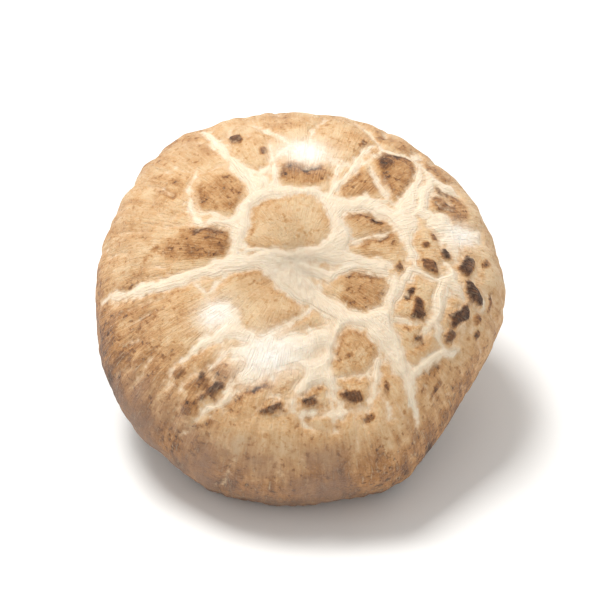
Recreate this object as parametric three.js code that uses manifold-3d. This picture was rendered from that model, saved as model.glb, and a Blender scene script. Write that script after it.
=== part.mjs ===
// A picked shiitake mushroom, grown as one piece: a domed cap with a cracked skin, gills and a cut stem.
// It lies as a loose mushroom does, on the cut end of its stem and the front of its rolled rim.
// Millimetres, +Z up. The origin is the middle of the cut end, and the cap leans towards -Y.
// The shapes are first made upright, with Z = 0 at the lowest point of the rim and the cap's axis on Z.
import * as THREE from 'three';
import { mergeVertices } from 'three/addons/utils/BufferGeometryUtils.js';
import Module from 'manifold-3d';

// Cap
const CAP_RADIUS = 31;
const CAP_HEIGHT = 26; // crown above the lowest point of the rim
const WIDEST_HEIGHT = 9; // widest circle above the lowest point of the rim
const DOME_FULLNESS = 2.3; // superellipse power: 2 is an ellipse, more is a fuller shoulder
const RIM_RADIUS = 26; // circle of the lowest points of the rolled rim
const LIP_HEIGHT = 2.5; // where the rolled rim ends, above its lowest point
const GILL_RADIUS = 20.5; // the rim's inner lip, where the gills begin
const CEILING_HEIGHT = 8; // roof of the gill chamber, buried behind the gills

// The cap isn't quite round: shares of its radius, and rises of its rim, by how often they go round
const SWELL_ONCE = 0.005;
const SWELL_TWICE = -0.004;
const SWELL_THRICE = -0.015;
// Hollows in its outline, less than 0 for a bulge: share of the radius, turn and width in degrees
const DENTS = [
  [0.07, 60, 20],
  [-0.055, 27, 12],
  [0.02, -40, 25],
  [-0.03, -140, 28],
  [-0.02, 140, 28],
];
const WAVE_TWICE = 0.5;
const WAVE_THRICE = -0.4;
const WAVE_FIVE_TIMES = 0.35;

// Skin: the crown has split into plates, and the pale flesh between them lies lower
const FLESH_SINK = 0.8;
const SPLIT_REACH = 27; // mean distance of the split area's edge from the crown, along the skin
const SPLIT_REACH_SWING = 4; // the split area reaches further on one side
const SPLIT_TOWARDS = THREE.MathUtils.degToRad(120); // that side, turned from the front towards +X
const SPLIT_EDGE = 2.5; // width of the step down from whole skin
const PLATE_SIDES = 8;
const PLATE_SHARE = 0.86; // top face of a plate, as a share of its foot
const PLATE_CROWN = 0.25; // middle of a plate above the skin line
const PLATE_ROOT = 1.8; // foot of a plate below the skin line
const CRACK_WIDTH = 1.3; // least gap between the feet of two plates
const PLATE_RAGGEDNESS = 0.12;
const PLATE_SEED = 7;

// Plates as laid out on the skin: right of the crown, behind it, length, width, turn in degrees
const PLATES = [
  [-0.7, 6.1, 12, 8.4, 0],
  [-3.9, -5, 14.5, 7.6, -43],
  [-14.8, 3.6, 12, 5.4, 8],
  [-11.8, 12, 8, 7.4, 0],
  [-20, 14, 7, 6.5, 0],
  [1, 15.4, 8.5, 5, 0],
  [10.4, 7.2, 9.5, 4.4, -20],
  [12.4, 2.8, 6, 4.8, 0],
  [10, -4.4, 7, 8.2, 0],
  [9.8, 13.6, 8.5, 4.8, 28],
  [16, 16.5, 11.5, 7, -70],
  [24, 13, 8.5, 6.5, 90],
  [20.5, 3.5, 6.5, 6.5, 0],
  [27.5, 1.5, 8.5, 5.5, 90],
  [25.5, -7.5, 7.5, 6.5, 30],
  [18.3, -5.5, 7.5, 5, 90],
  [8.6, -13.8, 8.6, 7, 0],
  [8.8, -20.4, 7, 6.5, 0],
  [1.8, -21, 6.5, 6.5, 0],
  [13.4, -17.5, 7.5, 5, 60],
  [19.5, -12, 7, 6.5, 30],
  [23.5, -18, 8.5, 7, 40],
  [-22.5, -8.5, 16, 9.5, 5],
  [-26, 4, 8.5, 8.5, 0],
  [-25.5, 11, 6.5, 6.5, 0],
  [-11.5, -19.5, 12.5, 8, -10],
  [-2.5, -26.5, 10, 6, 0],
  [-15.5, 21.5, 8.5, 7.5, 30],
  [-6.8, 21.5, 7, 6, 60],
  [8.5, 22.5, 8.5, 6.5, 0],
  [-2.5, 27, 9, 5.5, 0],
  [16, 26, 8.5, 6.5, -30],
  [23.5, 21, 7.5, 6.5, -40],
  [1.5, -12, 6, 5, 0],
];

// Gills: every other one is short and starts part of the way out
const FULL_GILLS = 40;
const GILL_INNER_RADIUS = 11; // where the gills meet the stem
const GILL_EDGE_OUTER = 2.2; // height of the gill edges at the lip
const GILL_EDGE_INNER = 3.8; // and at the stem
const GILL_DEPTH = 3.2;
const GILL_BASE_HALF = 0.45; // half a gill's thickness at its root
const GILL_EDGE_SHARE = 0.75; // edge thickness as a share of the root's
const FULL_PITCH_SHARE = 0.3; // most that half a full gill takes of the pitch near the stem
const SHORT_PITCH_SHARE = 0.16;
const SHORT_START = 13.5;
const SHORT_START_SCATTER = 0.1; // share of that distance, either way
const SHORT_RISE = 3; // a short gill reaches its full depth over this length
const GILL_JITTER = 0.16; // sideways scatter, in shares of a gill's pitch
const GILL_ROWS = [8, 12, 15.5, 19, 22.3];
const GILL_ROOF = 11;
const GILL_SEED = 19;

// Stem: radii from the end buried in the cap down to a spare length past the cut, which is trimmed off
const STEM_TOP = 9.5;
const STEM_TOP_RADIUS = 11.5;
const STEM_FLARE_RADIUS = 10; // at the gills' inner edges
const STEM_NECK = -2;
const STEM_NECK_RADIUS = 8.6;
const STEM_MIDDLE_RADIUS = 8.2;
const STEM_FOOT_RADIUS = 9.2; // at the cut end
const STEM_SPARE = 8;
const STEM_SPARE_RADIUS = 9.5;
const STEM_BEND = new THREE.Vector2(2.5, 3); // cut end off the cap's axis, right and back
const FLUTE_TWICE = 0.05; // shares of the radius that go round with the turn
const FLUTE_THRICE = 0.03;
const FLUTE_TURN = 1;

// Rest
const LEAN = THREE.MathUtils.degToRad(27); // the cap's axis from upright, towards the front
const REST_FLAT = 0.25; // depth pressed flat where the rim meets the table
const TABLE_SIZE = 180;

// Facets
const CAP_COLUMNS = 48;
const DOME_ROWS = 11;
const OUTER_ROLL_ROWS = 4;
const INNER_ROLL_ROWS = 4;
const STEM_COLUMNS = 24;
const STEM_ROWS = 9;
const MERGE_DISTANCE = 1e-4;

const wasm = await Module();
wasm.setup();

// Seeded draws from 0 to 1
function drawer(seed) {
  let state = seed;
  return () => {
    state = (state * 1664525 + 1013904223) % 4294967296;
    return state / 4294967296;
  };
}

// The dome's meridian, from the crown out to the widest circle, as (radius, height)
class DomeMeridian extends THREE.Curve {
  getPoint(t) {
    const power = 2 / DOME_FULLNESS;
    const angle = (t * Math.PI) / 2;
    const rise = Math.max(Math.cos(angle), 0) ** power;
    return new THREE.Vector2(
      CAP_RADIUS * Math.sin(angle) ** power,
      WIDEST_HEIGHT + (CAP_HEIGHT - WIDEST_HEIGHT) * rise,
    );
  }
}
const meridian = new DomeMeridian();
const meridianLength = meridian.getLength();

// Angles turn from the front towards +X, and the front itself is true to the round form
function swell(turn) {
  const once = SWELL_ONCE * (1 - Math.cos(turn));
  const waves = SWELL_TWICE * Math.sin(2 * turn) + SWELL_THRICE * Math.sin(3 * turn);
  const dents = DENTS.map(([depth, middle, width]) => {
    const away = turn - THREE.MathUtils.degToRad(middle);
    const nearest = Math.atan2(Math.sin(away), Math.cos(away));
    return depth * Math.exp(-((nearest / THREE.MathUtils.degToRad(width)) ** 2));
  });
  return once + waves - dents.reduce((sum, dent) => sum + dent, 0);
}

function rimWave(turn) {
  const thrice = WAVE_THRICE * (1 - Math.cos(3 * turn));
  return WAVE_TWICE * Math.sin(2 * turn) + thrice + WAVE_FIVE_TIMES * Math.sin(5 * turn);
}

// A point of the cap from its round form: radius, turn and height
function capPoint(radius, turn, height) {
  const share = radius / CAP_RADIUS;
  const grown = radius * (1 + swell(turn) * share ** 2);
  const raised = height + rimWave(turn) * share ** 4;
  return new THREE.Vector3(grown * Math.sin(turn), -grown * Math.cos(turn), raised);
}

// A place on the dome, given along the skin from the crown, lifted square to it
function skinPoint(place, lift) {
  const along = Math.min(place.length() / meridianLength, 1);
  const point = meridian.getPointAt(along);
  const tangent = meridian.getTangentAt(along);
  const turn = Math.atan2(place.x, -place.y);
  return capPoint(point.x - lift * tangent.y, turn, point.y + lift * tangent.x);
}

// How far the bare flesh lies below the skin line at a place on the skin
function fleshSink(distance, turn) {
  const reach = SPLIT_REACH + SPLIT_REACH_SWING * Math.cos(turn - SPLIT_TOWARDS);
  return FLESH_SINK * (1 - THREE.MathUtils.smoothstep(distance, reach, reach + SPLIT_EDGE));
}

// A lathe turned to stand on Z, with each vertex placed again by its column and row.
// A profile runs down its outside. The lathe takes it the other way, so that its faces point out.
function turnedSolid(profile, columns, place) {
  const lathe = new THREE.LatheGeometry(profile.toReversed(), columns);
  const position = lathe.getAttribute('position');
  for (let index = 0; index < position.count; index += 1) {
    const column = Math.floor(index / profile.length) % columns;
    const row = profile.length - 1 - (index % profile.length);
    const point = place(column, row);
    position.setXYZ(index, point.x, point.y, point.z);
  }
  return solidOf(lathe);
}

// A closed geometry as a solid, with its shared vertices merged
function solidOf(geometry) {
  const bare = new THREE.BufferGeometry();
  bare.setAttribute('position', geometry.getAttribute('position'));
  bare.setIndex(geometry.getIndex());
  const merged = mergeVertices(bare, MERGE_DISTANCE);
  return new wasm.Manifold(new wasm.Mesh({
    numProp: 3,
    vertProperties: new Float32Array(merged.getAttribute('position').array),
    triVerts: new Uint32Array(merged.getIndex().array),
  }));
}

function geometryOf(solid) {
  const mesh = solid.getMesh();
  const geometry = new THREE.BufferGeometry();
  geometry.setAttribute('position', new THREE.BufferAttribute(mesh.vertProperties, 3));
  geometry.setIndex(new THREE.BufferAttribute(mesh.triVerts, 1));
  geometry.computeVertexNormals();
  return geometry;
}

// Cap: dome, rolled rim and the roof of the gill chamber
function capSolid() {
  const dome = meridian.getSpacedPoints(DOME_ROWS);
  const outerRoll = new THREE.EllipseCurve(
    RIM_RADIUS, WIDEST_HEIGHT, CAP_RADIUS - RIM_RADIUS, WIDEST_HEIGHT, 0, -Math.PI / 2, true,
  );
  const innerRoll = new THREE.EllipseCurve(
    RIM_RADIUS, LIP_HEIGHT, RIM_RADIUS - GILL_RADIUS, LIP_HEIGHT, -Math.PI / 2, -Math.PI, true,
  );
  const profile = [
    ...dome,
    ...outerRoll.getPoints(OUTER_ROLL_ROWS).slice(1),
    ...innerRoll.getPoints(INNER_ROLL_ROWS).slice(1),
    new THREE.Vector2(GILL_RADIUS, CEILING_HEIGHT),
    new THREE.Vector2(0, CEILING_HEIGHT),
  ];
  profile[0].x = 0;
  return turnedSolid(profile, CAP_COLUMNS, (column, row) => {
    const turn = (column / CAP_COLUMNS) * 2 * Math.PI;
    if (row > DOME_ROWS) {
      return capPoint(profile[row].x, turn, profile[row].y);
    }
    const distance = (row / DOME_ROWS) * meridianLength;
    const place = new THREE.Vector2(Math.sin(turn), -Math.cos(turn)).multiplyScalar(distance);
    return skinPoint(place, -fleshSink(distance, turn));
  });
}

// The part of a polygon on the near side of a line, which lies the given way along a direction
function clipped(outline, from, direction, way) {
  const past = (point) => point.clone().sub(from).dot(direction) - way;
  const kept = [];
  outline.forEach((point, index) => {
    const next = outline[(index + 1) % outline.length];
    const here = past(point);
    const there = past(next);
    if (here <= 0) {
      kept.push(point);
    }
    if (here * there < 0) {
      kept.push(point.clone().lerp(next, here / (here - there)));
    }
  });
  return kept;
}

// A plate's foot: a ragged oval, cut back where its neighbours' cracks run
function plateOutline(plate, neighbours, draw) {
  const [right, back, length, width, turn] = plate;
  const middle = new THREE.Vector2(right, back);
  const tilt = THREE.MathUtils.degToRad(turn);
  let outline = Array.from({ length: PLATE_SIDES }, (_, side) => {
    const angle = (side / PLATE_SIDES) * 2 * Math.PI;
    const ragged = 1 + PLATE_RAGGEDNESS * (2 * draw() - 1);
    const point = new THREE.Vector2((length / 2) * Math.cos(angle), (width / 2) * Math.sin(angle));
    return point.multiplyScalar(ragged).rotateAround(new THREE.Vector2(), tilt).add(middle);
  });
  neighbours.forEach((other) => {
    const towards = new THREE.Vector2(other[0], other[1]).sub(middle);
    const distance = towards.length();
    const weight = (length * width - other[2] * other[3]) / 4;
    const half = (distance ** 2 + weight) / (2 * distance);
    outline = clipped(outline, middle, towards.divideScalar(distance), half - CRACK_WIDTH / 2);
  });
  return outline;
}

// One plate of skin: a low pillow with sloping sides and its foot sunk in the flesh
function plateSolid(outline) {
  const middle = outline.reduce((sum, point) => sum.add(point), new THREE.Vector2());
  middle.divideScalar(outline.length);
  const top = outline.map((point) => point.clone().lerp(middle, 1 - PLATE_SHARE));
  const points = [
    skinPoint(middle, PLATE_CROWN),
    ...top.map((point) => skinPoint(point, 0)),
    ...outline.map((point) => skinPoint(point, -PLATE_ROOT)),
    skinPoint(middle, -PLATE_ROOT),
  ];
  const count = outline.length;
  const indices = [];
  for (let side = 0; side < count; side += 1) {
    const next = (side + 1) % count;
    const topHere = 1 + side;
    const topNext = 1 + next;
    const footHere = topHere + count;
    const footNext = topNext + count;
    indices.push(0, topHere, topNext);
    indices.push(topHere, footHere, topNext, topNext, footHere, footNext);
    indices.push(2 * count + 1, footNext, footHere);
  }
  const geometry = new THREE.BufferGeometry().setFromPoints(points);
  geometry.setIndex(indices);
  return solidOf(geometry);
}

function plateSolids() {
  const draw = drawer(PLATE_SEED);
  return PLATES.map((plate) => {
    const neighbours = PLATES.filter((other) => other !== plate);
    return plateSolid(plateOutline(plate, neighbours, draw));
  });
}

// Gills: one ring whose underside rises and falls, with four columns to a gill
function gillSolid() {
  const draw = drawer(GILL_SEED);
  const gillCount = 2 * FULL_GILLS;
  const gills = Array.from({ length: gillCount }, (_, index) => ({
    short: index % 2 === 1,
    turn: ((index + GILL_JITTER * (2 * draw() - 1)) / gillCount) * 2 * Math.PI,
    start: SHORT_START * (1 + SHORT_START_SCATTER * (2 * draw() - 1)),
  }));
  const profile = [
    ...GILL_ROWS.map((radius) => new THREE.Vector2(radius, 0)),
    new THREE.Vector2(GILL_ROWS.at(-1), GILL_ROOF),
    new THREE.Vector2(GILL_ROWS[0], GILL_ROOF),
    new THREE.Vector2(GILL_ROWS[0], 0),
  ].reverse();
  const sides = [-1, -GILL_EDGE_SHARE, GILL_EDGE_SHARE, 1];
  return turnedSolid(profile, gillCount * sides.length, (column, row) => {
    const gill = gills[Math.floor(column / sides.length)];
    const side = sides[column % sides.length];
    const radius = profile[row].x;
    const pitch = (2 * Math.PI * radius) / FULL_GILLS;
    const half = Math.min(GILL_BASE_HALF, pitch * (gill.short ? SHORT_PITCH_SHARE : FULL_PITCH_SHARE));
    const turn = gill.turn + (side * half) / radius;
    const inwards = (GILL_RADIUS - radius) / (GILL_RADIUS - GILL_INNER_RADIUS);
    const edge = GILL_EDGE_OUTER + (GILL_EDGE_INNER - GILL_EDGE_OUTER) * inwards;
    const share = gill.short ? THREE.MathUtils.smoothstep(radius, gill.start, gill.start + SHORT_RISE) : 1;
    const hang = Math.abs(side) < 1 ? share : 0;
    const height = profile[row].y || edge + GILL_DEPTH * (1 - hang);
    return new THREE.Vector3(radius * Math.sin(turn), -radius * Math.cos(turn), height);
  });
}

// How far the stem's cut end lies below the rim, so that rim and cut end meet one table
function stemReach() {
  const slope = Math.tan(LEAN);
  const roll = Math.hypot((CAP_RADIUS - RIM_RADIUS) * slope, WIDEST_HEIGHT);
  return (RIM_RADIUS + STEM_BEND.y) * slope - WIDEST_HEIGHT + roll - REST_FLAT / Math.cos(LEAN);
}

// Stem: flared at both ends, a little out of round, bending away from the cap's axis
function stemSolid(reach) {
  const radiusAt = new THREE.SplineCurve([
    new THREE.Vector2(STEM_TOP, STEM_TOP_RADIUS),
    new THREE.Vector2(GILL_EDGE_INNER, STEM_FLARE_RADIUS),
    new THREE.Vector2(STEM_NECK, STEM_NECK_RADIUS),
    new THREE.Vector2(-reach / 2, STEM_MIDDLE_RADIUS),
    new THREE.Vector2(-reach, STEM_FOOT_RADIUS),
    new THREE.Vector2(-reach - STEM_SPARE, STEM_SPARE_RADIUS),
  ]);
  const side = radiusAt.getPoints(STEM_ROWS).map((point) => new THREE.Vector2(point.y, point.x));
  const profile = [new THREE.Vector2(0, STEM_TOP), ...side, new THREE.Vector2(0, -reach - STEM_SPARE)];
  return turnedSolid(profile, STEM_COLUMNS, (column, row) => {
    const turn = (column / STEM_COLUMNS) * 2 * Math.PI;
    const { x: radius, y: height } = profile[row];
    const flutes = FLUTE_TWICE * Math.cos(2 * turn + FLUTE_TURN) + FLUTE_THRICE * Math.cos(3 * turn);
    const fluted = radius * (1 + flutes);
    const share = Math.max(STEM_TOP - height, 0) / (STEM_TOP + reach);
    return new THREE.Vector3(
      STEM_BEND.x * share ** 2 + fluted * Math.sin(turn),
      STEM_BEND.y * share ** 2 - fluted * Math.cos(turn),
      height,
    );
  });
}

// The whole fruit body, leaned over and pressed flat where it meets the table
function mushroomSolid() {
  const reach = stemReach();
  const upright = [capSolid(), gillSolid(), stemSolid(reach), ...plateSolids()];
  const whole = upright.reduce((sum, solid) => sum.add(solid));
  const lay = new THREE.Matrix4().makeRotationX(LEAN);
  lay.multiply(new THREE.Matrix4().makeTranslation(-STEM_BEND.x, -STEM_BEND.y, reach));
  const table = new THREE.BoxGeometry(TABLE_SIZE, TABLE_SIZE, TABLE_SIZE);
  table.translate(0, 0, -TABLE_SIZE / 2);
  return whole.transform(lay.elements).subtract(solidOf(table));
}

const mushroom = new THREE.Group();
const flesh = new THREE.MeshStandardMaterial({ color: 0xb98f62, roughness: 0.8, metalness: 0 });
const body = new THREE.Mesh(geometryOf(mushroomSolid()), flesh);
body.name = 'shiitake';
mushroom.add(body);

export default mushroom;
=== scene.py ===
import math
import random

import bpy
import numpy as np
from mathutils import Matrix, Vector, noise


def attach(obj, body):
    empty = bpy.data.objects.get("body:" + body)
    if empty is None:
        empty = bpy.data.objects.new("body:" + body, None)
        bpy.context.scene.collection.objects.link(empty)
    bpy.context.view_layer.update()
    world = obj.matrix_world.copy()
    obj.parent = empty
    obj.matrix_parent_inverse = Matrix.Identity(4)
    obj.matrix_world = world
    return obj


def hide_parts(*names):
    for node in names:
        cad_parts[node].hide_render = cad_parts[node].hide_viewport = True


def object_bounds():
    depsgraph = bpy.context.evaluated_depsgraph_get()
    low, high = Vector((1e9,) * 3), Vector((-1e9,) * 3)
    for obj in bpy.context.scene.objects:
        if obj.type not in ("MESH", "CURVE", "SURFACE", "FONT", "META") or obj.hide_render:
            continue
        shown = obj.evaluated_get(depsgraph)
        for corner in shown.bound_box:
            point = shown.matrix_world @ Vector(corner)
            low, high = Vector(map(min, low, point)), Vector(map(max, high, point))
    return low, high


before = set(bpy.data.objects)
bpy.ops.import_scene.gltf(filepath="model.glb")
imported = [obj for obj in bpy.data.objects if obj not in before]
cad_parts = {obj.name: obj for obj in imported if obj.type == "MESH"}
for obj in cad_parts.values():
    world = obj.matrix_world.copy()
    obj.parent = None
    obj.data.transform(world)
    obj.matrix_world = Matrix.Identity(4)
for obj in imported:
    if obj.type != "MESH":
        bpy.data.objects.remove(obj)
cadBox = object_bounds()
mm = 0.001
far = 99.0  # mm, further than any two places on the skin
print("frame loaded:", sorted(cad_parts))

# The upright form that every piece shares, in mm: z = 0 at the rim's lowest point, the cap's axis
# on z. Turns are measured from the front (-y) towards +x.
form = {
    "capRadius": 31.0,
    "capHeight": 26.0,
    "widestHeight": 9.0,
    "domeFullness": 2.3,  # superellipse power: more is a fuller shoulder
    "rimRadius": 26.0,
    "lipHeight": 2.5,
    "gillRadius": 20.5,
    "swell": (0.005, -0.004, -0.015),  # shares of the radius that go round once, twice, three times
    # hollows in the outline, less than 0 for a bulge: share of the radius, turn and width in degrees
    "dents": [(0.07, 60, 20), (-0.055, 27, 12), (0.02, -40, 25), (-0.03, -140, 28), (-0.02, 140, 28)],
    "wave": (0.5, -0.4, 0.35),  # rise of the rim that goes round twice, three and five times
    "lean": math.radians(27),  # towards the front
    "stemBend": (2.5, 3.0),  # cut end off the cap's axis, right and back
    "restFlat": 0.25,  # depth pressed flat where the rim meets the table
}


def stemReach():  # cut end below the rim's lowest point, so that both meet one table
    slope = math.tan(form["lean"])
    roll = math.hypot((form["capRadius"] - form["rimRadius"]) * slope, form["widestHeight"])
    span = (form["rimRadius"] + form["stemBend"][1]) * slope
    return span - form["widestHeight"] + roll - form["restFlat"] / math.cos(form["lean"])


def smooth(value, low, high):
    share = np.clip((value - low) / (high - low), 0, 1)
    return share * share * (3 - 2 * share)


def grain(points, size, seed):  # soft noise from -1 to 1 in lumps of that size, another for each seed
    return np.array([noise.noise(point) for point in (points / size + 31.7 * seed).tolist()])


def layered(points, layers, *seeds):  # noise in layers, each with its height and its size in mm
    return sum(height * grain(points, size, seed) for (height, size), seed in zip(layers, seeds))


def readPoints(piece):
    points = np.empty(len(piece.data.vertices) * 3, np.float32)
    piece.data.vertices.foreach_get("co", points)
    return points.reshape(-1, 3).astype(float) / mm


def writePoints(piece, points):
    piece.data.vertices.foreach_set("co", (points * mm).astype(np.float32).ravel())
    piece.data.update()


def writeAttribute(piece, name, values):
    kind, field = ("FLOAT_VECTOR", "vector") if values.ndim == 2 else ("FLOAT", "value")
    layer = piece.data.attributes.new(name, kind, "POINT")
    layer.data.foreach_set(field, values.astype(np.float32).ravel())


def evenly(points, step):  # the same line with its points a step apart
    points = np.asarray(points, float)
    lengths = np.concatenate(([0], np.cumsum(np.hypot(*np.diff(points, axis=0).T))))
    marks = np.linspace(0, lengths[-1], max(round(lengths[-1] / step), 1) + 1)
    return np.column_stack([np.interp(marks, lengths, points[:, axis]) for axis in (0, 1)])


def turnedPiece(name, profile, columns):  # a wire drawn down the profile and spun round z
    bpy.ops.object.select_all(action="DESELECT")
    bpy.ops.mesh.primitive_plane_add(size=mm, location=(profile[0][0] * mm, 0, profile[0][1] * mm))
    piece = bpy.context.object
    piece.name = name
    bpy.ops.object.transform_apply(location=True, rotation=True, scale=True)
    bpy.ops.object.mode_set(mode="EDIT")
    bpy.ops.mesh.select_all(action="SELECT")
    bpy.ops.mesh.merge(type="CENTER")
    for right, up in np.diff(np.asarray(profile, float), axis=0) * mm:
        bpy.ops.mesh.extrude_region_move(TRANSFORM_OT_translate={"value": (right, 0, up)})
    bpy.ops.mesh.select_all(action="SELECT")
    bpy.ops.mesh.spin(steps=columns, angle=2 * math.pi, center=(0, 0, 0), axis=(0, 0, 1))
    bpy.ops.mesh.select_all(action="SELECT")
    bpy.ops.mesh.remove_doubles(threshold=0.001 * mm)
    bpy.ops.mesh.normals_make_consistent(inside=False)
    bpy.ops.object.mode_set(mode="OBJECT")
    bpy.ops.object.shade_smooth()
    return piece


def layDown(piece):  # leans an upright piece over, towards its place on the table
    bend = form["stemBend"]
    lift = Matrix.Translation(Vector((-bend[0], -bend[1], stemReach())) * mm)
    bpy.ops.object.select_all(action="DESELECT")
    piece.select_set(True)
    bpy.context.view_layer.objects.active = piece
    piece.matrix_world = Matrix.Rotation(form["lean"], 4, "X") @ lift
    bpy.ops.object.transform_apply(location=True, rotation=True, scale=True)


def pressFlat(piece):  # nothing reaches below the table
    points = readPoints(piece)
    points[:, 2] = np.maximum(points[:, 2], 0)
    writePoints(piece, points)


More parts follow.
